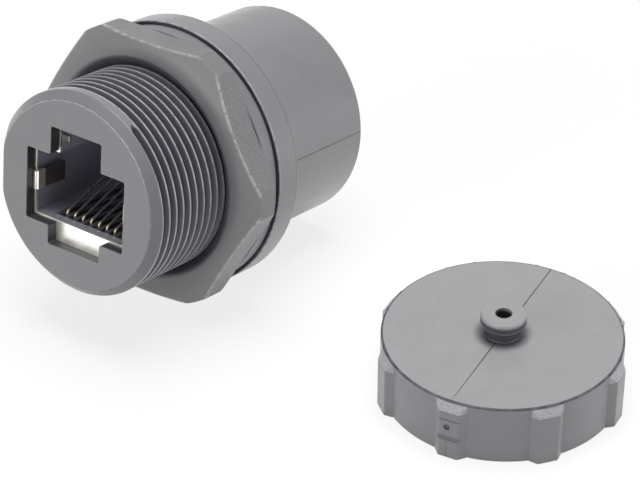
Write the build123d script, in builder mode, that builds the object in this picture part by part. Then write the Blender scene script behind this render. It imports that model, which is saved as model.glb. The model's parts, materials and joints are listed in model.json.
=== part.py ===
from build123d import *
import os
from math import atan, cos, degrees, radians, sin, tan

# Waterproof panel coupler with a keyed eight-contact socket at each end, and its screw-on dust cap.
# The coupler's own pieces are drawn standing on the rear end of the barrel: x to the right and y up
# as seen from the front, z from the rear end towards the front face. They are laid down together at the end.
# All sizes are in mm.

# Housing
thread_radius = 10.25
thread_depth = 0.6
thread_pitch = 1.0
thread_crest_width = 0.2
thread_root_width = 0.1
nose_chamfer = 0.8
nose_band = 0.2
nose_length = 14.4
nose_wall = 1.05
key_flat_depth = 1.1
flange_radius = 13.5
flange_thickness = 2.9
barrel_radius = 10.9
barrel_wall = 1.2
barrel_length = 13.8
rim_round = 0.3
front_wall = 1.2

# Keyed window in the front wall and in the rear bezel
window_width = 12.2
window_height = 7.4
window_drop = 0.4
latch_notch_width = 6.3
latch_notch_height = 2.9
ground_notch_width = 6.5
ground_notch_height = 1.95
window_round = 0.2

# Nut and washer on the nose
nut_across_flats = 26.0
nut_corner_radius = 14.3
nut_thickness = 3.4
nut_face_radius = 12.65
nut_face_slope = 30.0
nut_bore_gap = 0.1
nut_countersink = 0.65
gasket_radius = 13.1
gasket_thickness = 1.6
gasket_gap = 0.2

# Shielded insert: two equal sockets on one board
insert_width = 13.6
insert_gap = 0.1
sheet = 0.3
board_thickness = 1.2
mouth_lip = 0.15
body_gap = 0.05
socket_back_wall = 1.7
finger_height = 1.9
finger_length = 3.4
finger_lean = 0.55
finger_bulge = 0.35

# Spring wires and their slotted floor
contact_count = 8
contact_pitch = 1.02
wire_width = 0.4
wire_thickness = 0.3
wire_bend = 0.35
wire_bend_depth = 1.7
wire_clearance = 0.15
wire_rise = 4.0
wire_end_depth = 11.2
tail_depth = 0.45
slot_width = 0.52
groove_depth = 1.0
comb_side = 0.5
comb_wall = 0.3
comb_floor = 0.35
comb_lip = 0.9

# Rear closing
rear_recess = 1.1
bezel_thickness = 1.6
bezel_gap = 0.05
seal_thickness = 1.0
seal_gap = 0.1

# Dust cap
cap_wall = 1.2
cap_gap = 0.1
cap_height = 6.2
cap_top_wall = 1.2
cap_edge_round = 0.4
cap_mouth_chamfer = 0.3
cap_relief = 0.25
cap_relief_gap = 0.2
lug_count = 8
lug_start_angle = 11.0
lug_projection = 0.6
lug_base_width = 2.9
lug_face_width = 1.9
lug_top_drop = 0.45
lug_slope_height = 0.95
knob_head_radius = 2.2
knob_head_thickness = 0.95
knob_neck_radius = 1.65
knob_neck_height = 1.4
knob_round = 0.3
knob_hole_radius = 0.8
knob_hole_depth = 1.9
cap_seal_thickness = 0.7
cap_seal_width = 2.8
cap_seal_gap = 0.1

# How the two things lie: the coupler rolled about its own axis, and the cap's place from the front face
coupler_roll = 3.6
cap_to_the_right = 36.8
cap_behind_face = 18.7

# Heights along the coupler's axis
flange_back = barrel_length
flange_front = flange_back + flange_thickness
front_face = flange_front + nose_length
front_inner = front_face - front_wall
bezel_front = rear_recess + bezel_thickness
seal_seat = bezel_front + seal_thickness

# Turns of the thread, counted back from the band behind the nose's chamfer
thread_start = front_face - nose_chamfer - nose_band
thread_turns = int((thread_start - flange_front) / thread_pitch)

# Widths across the coupler
cavity_radius = thread_radius - thread_depth - nose_wall
insert_radius = cavity_radius - insert_gap
pocket_radius = barrel_radius - barrel_wall
window_floor = -window_drop - window_height / 2
window_top = -window_drop + window_height / 2

# Sockets, drawn with z from the middle of the board towards the mouth
insert_middle = (front_inner + bezel_front) / 2
socket_mouth = (front_inner - bezel_front) / 2
board_face = board_thickness / 2
shield_back = socket_mouth - sheet
plug_end = board_face + socket_back_wall
plug_width = window_width - 2 * mouth_lip
plug_floor = window_floor + mouth_lip
plug_top = window_top - mouth_lip
plug_height = plug_top - plug_floor
latch_width = latch_notch_width - 2 * mouth_lip
latch_top = window_top + latch_notch_height - mouth_lip
comb_width = (contact_count - 1) * contact_pitch + slot_width + 2 * comb_side
comb_front = shield_back - comb_lip
comb_bottom = -insert_width / 2 + sheet + 2 * body_gap + comb_wall
comb_depth = plug_floor - comb_bottom
wire_run = comb_bottom + comb_floor + wire_clearance + wire_thickness / 2

pieces = {}


def insert_outline(inset, mode=Mode.ADD):
    """Square with its corners cut by a circle, drawn smaller by the inset."""
    side = insert_width - 2 * inset
    with BuildSketch(mode=Mode.PRIVATE) as outline:
        Rectangle(side, side)
        Circle(insert_radius - inset, mode=Mode.INTERSECT)
    add(outline.sketch, mode=mode)


def window_outline(turned=False):
    """Keyed window: main opening, latch notch above it and grounding notch below it."""
    up = -1 if turned else 1
    with Locations((0, -up * window_drop)):
        Rectangle(window_width, window_height)
    with Locations((0, up * (window_top + latch_notch_height / 2))):
        Rectangle(latch_notch_width, latch_notch_height)
    with Locations((0, up * (window_floor - ground_notch_height / 2))):
        Rectangle(ground_notch_width, ground_notch_height)
    fillet(vertices(), radius=window_round)


def plug_outline(mode=Mode.ADD):
    """Mouth of one socket: the plug's body and the latch above it."""
    with Locations((0, (plug_floor + plug_top) / 2)):
        Rectangle(plug_width, plug_height, mode=mode)
    with Locations((0, plug_top)):
        Rectangle(latch_width, latch_top - plug_top, align=(Align.CENTER, Align.MIN), mode=mode)


# Housing: one moulding, hollow for the insert from the rear end up to the front wall.
# Each turn of its thread is a ring of the thread's own section, so the slight lean of a real turn is left out.
with BuildPart() as housing:
    with BuildSketch(Plane.XZ) as housing_profile:
        with BuildLine():
            Polyline(
                (0, 0),
                (barrel_radius, 0),
                (barrel_radius, flange_back),
                (flange_radius, flange_back),
                (flange_radius, flange_front),
                (thread_radius, flange_front),
                (thread_radius, front_face - nose_chamfer),
                (thread_radius - nose_chamfer, front_face),
                (0, front_face),
                close=True,
            )
        make_face()
        rims = housing_profile.vertices().filter_by(lambda v: v.X > flange_radius - rim_round)
        rear_rim = housing_profile.vertices().filter_by(
            lambda v: v.X > barrel_radius - rim_round and v.Y < rim_round
        )
        fillet(rims + rear_rim, radius=rim_round)
        groove_half = (thread_pitch - thread_crest_width) / 2
        grooves = [(thread_radius, thread_start - (turn + 0.5) * thread_pitch) for turn in range(thread_turns)]
        with Locations(*grooves):
            Polygon(
                (0, -groove_half),
                (0, groove_half),
                (-thread_depth, thread_root_width / 2),
                (-thread_depth, -thread_root_width / 2),
                align=None,
                mode=Mode.SUBTRACT,
            )
    revolve(axis=Axis.Z)
    with BuildSketch(Plane.XY.offset(flange_front)):
        with Locations((key_flat_depth - thread_radius, 0)):
            Rectangle(2 * key_flat_depth, 2 * thread_radius, align=(Align.MAX, Align.CENTER))
    extrude(amount=nose_length, mode=Mode.SUBTRACT)
    with BuildSketch():
        Circle(pocket_radius)
    extrude(amount=seal_seat, mode=Mode.SUBTRACT)
    with BuildSketch(Plane.XY.offset(seal_seat)):
        insert_outline(-insert_gap)
    extrude(amount=front_inner - seal_seat, mode=Mode.SUBTRACT)
    with BuildSketch(Plane.XY.offset(front_inner)):
        window_outline()
    extrude(amount=front_wall, mode=Mode.SUBTRACT)
pieces["housing"] = housing

# Nut: hexagon with flats in line with the socket, corners turned off, cone on the front face
nut_back = flange_front + gasket_thickness
nut_front = nut_back + nut_thickness
with BuildPart() as panel_nut:
    with BuildSketch(Plane.XY.offset(nut_back)):
        RegularPolygon(nut_across_flats / 2, 6, major_radius=False)
        Circle(nut_corner_radius, mode=Mode.INTERSECT)
        Circle(thread_radius + nut_bore_gap, mode=Mode.SUBTRACT)
    extrude(amount=nut_thickness)
    bore_rims = panel_nut.edges().filter_by(GeomType.CIRCLE).filter_by(
        lambda e: abs(e.radius - thread_radius - nut_bore_gap) < 0.001
    )
    chamfer(bore_rims, length=nut_countersink)
    cone_width = nut_corner_radius - nut_face_radius + 1
    with BuildSketch(Plane.XZ):
        with BuildLine():
            Polyline(
                (nut_face_radius, nut_front),
                (nut_face_radius + cone_width, nut_front),
                (nut_face_radius + cone_width, nut_front - cone_width * tan(radians(nut_face_slope))),
                close=True,
            )
        make_face()
    revolve(axis=Axis.Z, mode=Mode.SUBTRACT)
pieces["panel_nut"] = panel_nut

# Sealing washer between the flange and the nut
with BuildPart() as panel_gasket:
    with BuildSketch(Plane.XY.offset(flange_front)):
        Circle(gasket_radius)
        Circle(thread_radius + gasket_gap, mode=Mode.SUBTRACT)
    extrude(amount=gasket_thickness)
pieces["panel_gasket"] = panel_gasket

# Board in the middle of the insert, with one row of holes for each socket's wires
wire_rows = [wire_run, -wire_run]
with BuildPart() as circuit_board:
    with BuildSketch(Plane.XY.offset(-board_face)):
        insert_outline(0)
        for row in wire_rows:
            with Locations((0, row)):
                with GridLocations(contact_pitch, 0, contact_count, 1):
                    Circle(wire_width / 2 + body_gap, mode=Mode.SUBTRACT)
    extrude(amount=board_thickness)

# Shield: folded sheet can, open towards the board, with a spring finger on each side of its mouth
with BuildPart() as shield:
    with BuildSketch(Plane.XY.offset(board_face)):
        insert_outline(0)
        insert_outline(sheet, mode=Mode.SUBTRACT)
    extrude(amount=socket_mouth - board_face)
    with BuildSketch(Plane.XY.offset(shield_back)):
        insert_outline(0)
        plug_outline(mode=Mode.SUBTRACT)
    extrude(amount=sheet)
    finger_root = plug_width / 2
    finger_top = socket_mouth + finger_bulge - sheet / 2
    with BuildSketch(Plane.XZ.offset(-(plug_floor + plug_top) / 2)):
        with BuildLine() as finger_line:
            Polyline(
                (finger_root - sheet / 4, socket_mouth - sheet / 2),
                (finger_root - sheet / 4, finger_top),
                (finger_root - sheet, finger_top),
                (finger_root - finger_lean, socket_mouth - finger_length),
            )
        trace(finger_line.line, line_width=sheet)
        mirror(about=Plane.YZ)
    extrude(amount=finger_height / 2, both=True)

# Socket body: black moulding with the plug's opening, the latch slot and a pocket for the slotted floor
with BuildPart() as jack_body:
    with BuildSketch(Plane.XY.offset(board_face)):
        insert_outline(sheet + body_gap)
    extrude(amount=shield_back - board_face)
    with BuildSketch(Plane.XY.offset(plug_end)):
        plug_outline()
    extrude(amount=shield_back - plug_end, mode=Mode.SUBTRACT)
    with BuildSketch(Plane.XY.offset(board_face)):
        with Locations((0, plug_floor)):
            Rectangle(
                comb_width + 2 * body_gap,
                comb_depth + body_gap,
                align=(Align.CENTER, Align.MAX),
            )
    extrude(amount=comb_front + body_gap - board_face, mode=Mode.SUBTRACT)
    with BuildSketch(Plane.XY.offset(plug_end)):
        with Locations((0, plug_floor)):
            with GridLocations(contact_pitch, 0, contact_count, 1):
                Rectangle(slot_width, wire_rise + wire_width, align=(Align.CENTER, Align.MIN))
    extrude(amount=-groove_depth, mode=Mode.SUBTRACT)

# Slotted floor that keeps the spring wires apart
with BuildPart() as contact_comb:
    with BuildSketch(Plane.XY.offset(board_face)):
        with Locations((0, plug_floor)):
            Rectangle(comb_width, comb_depth, align=(Align.CENTER, Align.MAX))
        with Locations((0, comb_bottom + comb_floor)):
            with GridLocations(contact_pitch, 0, contact_count, 1):
                Rectangle(
                    slot_width,
                    comb_depth,
                    align=(Align.CENTER, Align.MIN),
                    mode=Mode.SUBTRACT,
                )
    extrude(amount=comb_front - board_face)

# Spring wire: from the board along the floor, round the bend behind the mouth and back up into the socket
bend_z = shield_back - wire_bend_depth
wire_points = [
    (wire_run, board_face - tail_depth),
    (wire_run, bend_z + wire_bend),
    (plug_floor + wire_bend / 2, bend_z),
    (plug_floor + wire_rise, shield_back - wire_end_depth),
]


def contact_wire(x):
    """One spring wire in the plane at x."""
    with BuildPart() as wire:
        with BuildLine(Plane.YZ.offset(x)) as route:
            FilletPolyline(*wire_points, radius=wire_bend)
        with BuildSketch(Plane(origin=route.line @ 0, x_dir=(1, 0, 0), z_dir=route.line % 0)):
            Rectangle(wire_width, wire_thickness)
        sweep(path=route.line)
    return wire


# The rear socket is the front one turned over, so that each wire faces its own number across the board
socket_places = {
    "front": Location((0, 0, insert_middle)),
    "rear": Location((0, 0, insert_middle), (180, 0, 0)),
}
coupler_only = {"circuit_board": (circuit_board, Location((0, 0, insert_middle)))}
for end, place in socket_places.items():
    coupler_only[end + "_shield"] = (shield, place)
    coupler_only[end + "_jack_body"] = (jack_body, place)
    coupler_only[end + "_contact_comb"] = (contact_comb, place)
    for number in range(1, contact_count + 1):
        x = (number - (contact_count + 1) / 2) * contact_pitch
        coupler_only[f"{end}_contact_{number}"] = (contact_wire(x), place)

# Flat seal round the insert, and the bezel that closes the barrel behind it
with BuildPart() as insert_seal:
    with BuildSketch(Plane.XY.offset(bezel_front)):
        Circle(pocket_radius - seal_gap)
        insert_outline(-insert_gap, mode=Mode.SUBTRACT)
    extrude(amount=seal_thickness)
pieces["insert_seal"] = insert_seal

with BuildPart() as rear_bezel:
    with BuildSketch(Plane.XY.offset(rear_recess)):
        Circle(pocket_radius - bezel_gap)
    extrude(amount=bezel_thickness)
    with BuildSketch(Plane.XY.offset(rear_recess)):
        window_outline(turned=True)
    extrude(amount=bezel_thickness, mode=Mode.SUBTRACT)
pieces["rear_bezel"] = rear_bezel

# Dust cap, drawn as it stands: open side down on z = 0
cap_bore = thread_radius + cap_gap
cap_radius = cap_bore + cap_wall
cap_ceiling = cap_height - cap_top_wall
relief_radius = cap_bore + cap_relief
lug_radius = cap_radius + lug_projection
lug_top = cap_height - lug_top_drop
lug_root = cap_radius - cap_wall / 2
with BuildPart() as lug:
    with BuildSketch():
        with BuildLine():
            Polyline(
                (lug_root, -lug_base_width / 2),
                (cap_radius, -lug_base_width / 2),
                (lug_radius, -lug_face_width / 2),
                (lug_radius, lug_face_width / 2),
                (cap_radius, lug_base_width / 2),
                (lug_root, lug_base_width / 2),
                close=True,
            )
        make_face()
    extrude(amount=cap_height)
    with BuildSketch(Plane.XZ):
        with BuildLine():
            Polyline(
                (lug_root, 0),
                (lug_radius, 0),
                (lug_radius, lug_top - lug_slope_height),
                (cap_radius, lug_top),
                (lug_root, lug_top),
                close=True,
            )
        make_face()
    extrude(amount=lug_base_width, both=True, mode=Mode.INTERSECT)

knob_top = cap_height + knob_neck_height + knob_head_thickness
with BuildPart() as dust_cap:
    with BuildSketch(Plane.XZ) as cap_profile:
        with BuildLine():
            Polyline(
                (0, 0),
                (cap_radius, 0),
                (cap_radius, cap_height),
                (knob_neck_radius, cap_height),
                (knob_neck_radius, cap_height + knob_neck_height),
                (knob_head_radius, cap_height + knob_neck_height),
                (knob_head_radius, knob_top),
                (0, knob_top),
                close=True,
            )
        make_face()
        cap_edge = cap_profile.vertices().filter_by(lambda v: v.X > cap_bore and v.Y > cap_height / 2)
        fillet(cap_edge, radius=cap_edge_round)
        head_edges = cap_profile.vertices().filter_by(
            lambda v: v.X > knob_head_radius - 0.001 and v.X < knob_head_radius + 0.001
        )
        fillet(head_edges, radius=knob_round)
    revolve(axis=Axis.Z)
    with BuildSketch():
        Circle(cap_bore)
    extrude(amount=cap_ceiling, mode=Mode.SUBTRACT)
    with BuildSketch(Plane.XY.offset(cap_ceiling)):
        Circle(relief_radius)
    extrude(amount=-cap_seal_thickness - cap_relief_gap, mode=Mode.SUBTRACT)
    with PolarLocations(0, lug_count, start_angle=lug_start_angle):
        add(lug.part)
    mouth_rim = dust_cap.edges().filter_by(GeomType.CIRCLE).filter_by(
        lambda e: abs(e.radius - cap_bore) < 0.001
    ).sort_by(Axis.Z)[0]
    chamfer(mouth_rim, length=cap_mouth_chamfer)
    with BuildSketch(Plane.XY.offset(knob_top)):
        Circle(knob_hole_radius)
    extrude(amount=-knob_hole_depth, mode=Mode.SUBTRACT)

# Rubber washer held against the cap's ceiling by the relief above the thread
with BuildPart() as cap_seal:
    with BuildSketch(Plane.XY.offset(cap_ceiling)):
        Circle(relief_radius - cap_seal_gap)
        Circle(relief_radius - cap_seal_gap - cap_seal_width, mode=Mode.SUBTRACT)
    extrude(amount=-cap_seal_thickness)

# The coupler lies on the flange's rear rim and the barrel's end, both rounded alike, so its front is raised
lie_angle = degrees(atan((flange_radius - barrel_radius) / barrel_length))
lie_sin = sin(radians(lie_angle))
lie_cos = cos(radians(lie_angle))
rear_height = (barrel_radius - rim_round) * lie_cos - rim_round * lie_sin + rim_round
coupler_place = (
    Location((0, front_face * lie_cos, rear_height))
    * Location((0, 0, 0), (90 - lie_angle, 0, 0))
    * Location((0, 0, 0), (0, 0, coupler_roll))
)
cap_place = Location((cap_to_the_right, cap_behind_face, 0))

placed = {}
for name, piece in pieces.items():
    placed[name] = piece.part.moved(coupler_place)
for name, (piece, socket_place) in coupler_only.items():
    placed[name] = piece.part.moved(coupler_place * socket_place)
placed["dust_cap"] = dust_cap.part.moved(cap_place)
placed["cap_seal"] = cap_seal.part.moved(cap_place)

# Origin on the floor, under the middle of everything
bounds = Compound(list(placed.values())).bounding_box()
to_origin = Location((-bounds.center().X, -bounds.center().Y, 0))

os.makedirs("parts", exist_ok=True)
for name, solid in placed.items():
    finished = solid.moved(to_origin)
    finished.label = name
    export_step(finished, f"parts/{name}.step")
print("bounds", bounds.size, "lowest", bounds.min.Z, "shift", to_origin.position, "lie angle", lie_angle)
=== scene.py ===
import bpy
import json
from math import atan, ceil, cos, pi, radians, sin, tan
from mathutils import Matrix, Quaternion, Vector

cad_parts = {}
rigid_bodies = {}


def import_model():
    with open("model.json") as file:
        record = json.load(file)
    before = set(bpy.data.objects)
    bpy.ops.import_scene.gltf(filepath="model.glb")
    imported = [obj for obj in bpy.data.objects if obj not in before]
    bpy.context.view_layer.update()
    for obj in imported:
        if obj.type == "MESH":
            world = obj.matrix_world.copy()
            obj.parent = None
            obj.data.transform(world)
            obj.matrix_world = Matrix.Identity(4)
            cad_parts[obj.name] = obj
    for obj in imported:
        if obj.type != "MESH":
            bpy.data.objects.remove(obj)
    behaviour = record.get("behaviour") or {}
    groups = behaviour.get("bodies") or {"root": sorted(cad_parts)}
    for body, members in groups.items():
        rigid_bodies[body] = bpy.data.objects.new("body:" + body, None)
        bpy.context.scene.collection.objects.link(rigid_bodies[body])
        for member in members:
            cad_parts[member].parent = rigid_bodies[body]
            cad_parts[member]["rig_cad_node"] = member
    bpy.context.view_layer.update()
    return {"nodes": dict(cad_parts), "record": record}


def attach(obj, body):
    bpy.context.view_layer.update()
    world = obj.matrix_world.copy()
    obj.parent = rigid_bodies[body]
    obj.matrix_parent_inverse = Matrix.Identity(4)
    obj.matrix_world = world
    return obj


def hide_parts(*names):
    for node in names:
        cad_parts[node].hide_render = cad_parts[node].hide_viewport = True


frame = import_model()

# Waterproof panel coupler and its dust cap. Pieces are shaped in millimetres, the coupler's standing on its
# rear end and the cap's on its open side, and then laid down at their place in metres.
MM = 0.001
TURN_STEPS = 160
THREAD_STEPS = 96
EASE_STEPS = 3

# Housing
THREAD_CREST = 10.25
THREAD_ROOT = 9.65
PITCH = 1.0
GROOVE_FLOOR = 0.1
GROOVE_MOUTH = 0.8
CREST_EASE = 0.06
GROOVE_FLARE = (-0.08, 0.04, 0.12)
GROOVE_END = radians(57)
GROOVE_END_HEIGHT = 29.85
GROOVE_TURNS = 12.6
GROOVE_PHASE = GROOVE_END_HEIGHT - GROOVE_END / (2 * pi) * PITCH
THREAD_END = 30.25
NOSE_CHAMFER = 0.8
KEY_FLAT = 9.15
FLANGE_RADIUS = 13.5
BARREL_RADIUS = 10.9
BARREL_LENGTH = 13.8
FLANGE_FRONT = 16.7
FRONT_FACE = 31.1
FRONT_INNER = 29.9
RIM_ROUND = 0.3
FLANGE_EDGE = 0.16
POCKET_RADIUS = 9.7
SEAL_SEAT = 3.7
PARTING_ANGLES = (4.3, 184.3)
PARTING_WIDTH = 0.16
PARTING_HEIGHT = 0.035
INSERT_SIDE = 13.8
INSERT_RADIUS = 8.6

# Keyed window
WINDOW_WIDTH = 12.2
WINDOW_FLOOR = -4.1
WINDOW_TOP = 3.3
LATCH_WIDTH = 6.3
LATCH_TOP = 6.2
GROUND_WIDTH = 6.5
GROUND_FLOOR = -6.05
WINDOW_ROUND = 0.2
WINDOW_EDGE = 0.06
WINDOW_REACH = 8.8

# Sockets, measured from the middle of the board between them
BOARD_MIDDLE = 16.3
WIRE_COUNT = 8
WIRE_PITCH = 1.02
WIRE_THICKNESS = 0.28
WIRE_TIP = (-0.2, -3.95, 12.7)
WIRE_TIP_RADIUS = 0.1
WIRE_TIP_SHAPE = (1.5, 0.5, 0.8)
WIRE_ROUTE = ((-5.45, 0.15, 0), (-5.45, 11.95, 0.35), (-3.775, 11.6, 0.35), (0.05, 2.1, 0))
BEND_DEPTH = 11.25
SHADE_DEPTH = 12.8
LANCE_LOW = (-3.1, 4.45, 13.0)
LANCE_HIGH = (-2.1, 5.0, 13.3)

# Nut and washer
NUT_BACK = 18.3
NUT_FRONT = 21.7
NUT_FLATS = 26.0
NUT_CORNER = 14.3
NUT_FACE = 12.65
NUT_SLOPE = radians(30)
NUT_FACE_ROUND = 3.2
NUT_EDGE = 0.1
NUT_MOUTH = 11.0
NUT_MOUTH_ROUND = 0.7
RELIEF_LENGTH = 5.2
RELIEF_HEIGHT = 0.17
NUT_RELIEF = 20.0
THREAD_GAP = 0.08
WASHER_RADIUS = 13.1
WASHER_BORE = 10.45

# Dust cap
CAP_RADIUS = 11.55
CAP_HEIGHT = 6.2
CAP_RIM = 0.2
CAP_CEILING = 5.0
CAP_RELIEF = 10.6
CAP_RELIEF_START = 4.1
CAP_THREAD_TURNS = 5
CAP_THREAD_GAP = 0.1
LUG_REACH = 12.15
LUG_ROOT = 0.12
LUG_BASE = 3.2
LUG_FACE = 1.95
LUG_TOP = 6.15
LUG_SLOPE = 0.9
LUG_COUNT = 8
LUG_START = 11
KNOB_HEAD = 2.2
KNOB_NECK = 1.65
KNOB_SEAT = 7.4
KNOB_TOP = 8.55
KNOB_ROUND = 0.28
KNOB_HOLE = 0.8
KNOB_HOLE_FLOOR = 6.65
WELD_ANGLE = 100.5
WELD_SHIFT = 0.1
MARKED_LUG = 281
GATE_HEIGHT = 3.55
GATE_RADIUS = 0.3
GATE_ASIDE = -0.15
STEP_HEIGHTS = (4.32, 4.4)
BAND_HEIGHTS = (2.0, 2.55)

# Colours, as levels on the screen or as linear values
# Level of the painted highlights on the nose's face border, the flange's front edge and the nut's front edges
PAINTED_HIGHLIGHT = 195
BRIGHT_SHEET = (0.97, 0.95, 0.87, 1)
SHADED_SHEET = (0.2, 0.17, 0.17, 1)
GILDING = (0.8, 0.64, 0.4, 1)
SHADED_WIRE = (0.42, 0.37, 0.35, 1)

# Camera and studio
LENS_LENGTH = 153.27
CAMERA_SPOT = (0.13116, -0.16788, 0.16376)
CAMERA_TILT = radians(54.145)
CAMERA_TURN = radians(37.962)
FLOOR_COLOUR = 0.75
FLOOR_SHADE = 0.22
FLOOR_WHITE = 0.8
FLOOR_NEAR = 0.2
FLOOR_FAR = 0.6
SKY_GLOSS = 0.8
LAMPS = {
    "top": ((0, 0.05, 0.7), (0.5, 0.5), 4.5),
    "back_left": ((-0.4, 0.5, 0.35), (0.5, 0.5), 0.3),
    "front": ((-0.18, -0.65, 0.2), (0.5, 0.3), 1.85),
    "right": ((0.6, 0.2, 0.08), (0.5, 0.14), 1.3),
}

# Where the coupler and the cap lie, from their mounts in the record
mounts = {mount["name"]: mount for mount in frame["record"]["mounts"]}
LIE = atan((FLANGE_RADIUS - BARREL_RADIUS) / BARREL_LENGTH)
ROLL = radians(3.6)
laid = Matrix.Rotation(pi / 2 - LIE, 4, "X") @ Matrix.Rotation(ROLL, 4, "Z")
barrel_middle = Vector(mounts["rear_barrel"]["pos_m"])
rear_centre = barrel_middle - laid.to_3x3() @ Vector((0, 0, (RIM_ROUND + BARREL_LENGTH) / 2 * MM))
coupler_place = Matrix.Translation(rear_centre) @ laid @ Matrix.Scale(MM, 4)
cap_spot = Vector(mounts["cap_thread"]["pos_m"])
cap_place = Matrix.Translation((cap_spot.x, cap_spot.y, 0)) @ Matrix.Scale(MM, 4)


def take(piece):
    """Only this piece is selected."""
    bpy.ops.object.select_all(action="DESELECT")
    piece.select_set(True)
    bpy.context.view_layer.objects.active = piece


def planted(piece):
    """The piece's place, turn and size go into its mesh."""
    take(piece)
    bpy.ops.object.transform_apply(location=True, rotation=True, scale=True)
    return piece


def named(name):
    """The new object gets its name and keeps its place in its mesh."""
    piece = planted(bpy.context.object)
    piece.name = name
    piece.data.name = name
    return piece


def tidy(piece, join=0.0005):
    """Doubles merged and faces turned outwards."""
    take(piece)
    bpy.ops.object.mode_set(mode="EDIT")
    bpy.ops.mesh.select_all(action="SELECT")
    bpy.ops.mesh.remove_doubles(threshold=join)
    bpy.ops.mesh.normals_make_consistent(inside=False)
    bpy.ops.object.mode_set(mode="OBJECT")
    return piece


def pick(piece, kind, test):
    """Selects in the piece's mesh what the test finds, and stays in edit mode."""
    take(piece)
    bpy.ops.object.mode_set(mode="EDIT")
    bpy.ops.mesh.select_mode(type=kind)
    bpy.ops.mesh.select_all(action="DESELECT")
    bpy.ops.object.mode_set(mode="OBJECT")
    mesh = piece.data
    points = mesh.vertices
    if kind == "FACE":
        for face in mesh.polygons:
            face.select = test(face.center, face.normal)
    elif kind == "EDGE":
        for edge in mesh.edges:
            edge.select = test(points[edge.vertices[0]].co, points[edge.vertices[1]].co)
    else:
        for point in points:
            point.select = test(point.co)
    bpy.ops.object.mode_set(mode="EDIT")


def done():
    bpy.ops.object.mode_set(mode="OBJECT")


def eased(outline):
    """Points of an outline of (radius, height, rounding), with each rounded corner in short steps."""
    points = []
    for index, (radius, height, ease) in enumerate(outline):
        corner = Vector((radius, height, 0))
        if not ease:
            points.append(corner)
            continue
        before = Vector((*outline[index - 1][:2], 0)) - corner
        after = Vector((*outline[(index + 1) % len(outline)][:2], 0)) - corner
        half = before.angle(after) / 2
        before.normalize()
        after.normalize()
        reach = ease / tan(half)
        centre = corner + (before + after).normalized() * ease / sin(half)
        start = corner + before * reach - centre
        end = corner + after * reach - centre
        bend = start.rotation_difference(end)
        for step in range(EASE_STEPS + 1):
            points.append(centre + Quaternion().slerp(bend, step / EASE_STEPS) @ start)
    return points


def turned(name, outline, solid=True):
    """A disc, or a ring where it isn't solid, pulled along the outline as on a lathe."""
    points = eased(outline)
    if not solid:
        points.append(points[0])
    bpy.ops.object.select_all(action="DESELECT")
    bpy.ops.mesh.primitive_circle_add(
        vertices=TURN_STEPS,
        radius=points[0].x,
        fill_type="NGON" if solid else "NOTHING",
        location=(0, 0, points[0].y),
    )
    piece = named(name)
    bpy.ops.object.mode_set(mode="EDIT")
    bpy.ops.mesh.select_all(action="SELECT")
    for last, point in zip(points, points[1:]):
        bpy.ops.mesh.extrude_region_move(TRANSFORM_OT_translate={"value": (0, 0, point.y - last.y)})
        size = point.x / last.x
        bpy.ops.transform.resize(value=(size, size, 1), center_override=(0, 0, point.y))
    done()
    return tidy(piece)


def block(name, low, high):
    """Box between two corners."""
    low = Vector(low)
    high = Vector(high)
    bpy.ops.object.select_all(action="DESELECT")
    bpy.ops.mesh.primitive_cube_add(size=1, location=(low + high) / 2)
    bpy.context.object.scale = high - low
    return named(name)


def combine(piece, tool, operation):
    """Cuts, adds or keeps with the tool, which is used up."""
    take(piece)
    bpy.ops.object.modifier_add(type="BOOLEAN")
    change = piece.modifiers[-1]
    change.operation = operation
    change.solver = "EXACT"
    change.object = tool
    bpy.ops.object.modifier_apply(modifier=change.name)
    bpy.data.objects.remove(tool)
    return piece


def wound(name, inner, outer, widths, turns, end_angle, end_height, flare=()):
    """A section wound up the axis, right-handed, up to its end. Its two widths are those at its inner and
    outer radius, and each step of the flare carries it further out and gives the width there."""
    bpy.ops.object.select_all(action="DESELECT")
    rise = turns * PITCH
    low = end_height - rise
    bpy.ops.mesh.primitive_plane_add(size=1, rotation=(pi / 2, 0, 0), location=((inner + outer) / 2, 0, low))
    bpy.context.object.scale = (outer - inner, widths[0], 1)
    piece = named(name)
    pick(piece, "EDGE", lambda a, b: min(a.x, b.x) > (inner + outer) / 2)
    bpy.ops.transform.resize(value=(1, 1, widths[1] / widths[0]), center_override=(0, 0, low))
    last = widths[1]
    for reach, width in flare:
        bpy.ops.mesh.extrude_region_move(TRANSFORM_OT_translate={"value": (reach, 0, 0)})
        bpy.ops.transform.resize(value=(1, 1, width / last), center_override=(0, 0, low))
        last = width
    bpy.ops.mesh.select_all(action="SELECT")
    bpy.ops.mesh.dissolve_limited(angle_limit=radians(1))
    done()
    take(piece)
    bpy.ops.object.modifier_add(type="SCREW")
    wind = piece.modifiers[-1]
    wind.angle = 2 * pi * turns
    wind.screw_offset = rise
    wind.steps = ceil(turns * THREAD_STEPS)
    wind.render_steps = wind.steps
    bpy.ops.object.modifier_apply(modifier=wind.name)
    tidy(piece)
    pick(piece, "VERT", lambda p: False)
    bpy.ops.mesh.select_non_manifold()
    bpy.ops.mesh.fill_holes(sides=0)
    done()
    piece.rotation_euler.z = end_angle - 2 * pi * turns
    return tidy(planted(piece))


def rounded(piece, width, angle):
    """Edges sharper than the angle, in degrees, rounded over."""
    take(piece)
    bpy.ops.object.modifier_add(type="BEVEL")
    edges = piece.modifiers[-1]
    edges.width = width
    edges.segments = 2
    edges.limit_method = "ANGLE"
    edges.angle_limit = radians(angle)
    bpy.ops.object.modifier_apply(modifier=edges.name)
    return piece


def smooth(piece, angle=30):
    """Smooth shading up to an angle, with flat faces kept flat beside small roundings."""
    take(piece)
    bpy.ops.object.shade_smooth_by_angle(angle=radians(angle))
    bpy.ops.object.modifier_add(type="WEIGHTED_NORMAL")
    piece.modifiers[-1].keep_sharp = True
    bpy.ops.object.modifier_apply(modifier=piece.modifiers[-1].name)
    return piece


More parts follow.
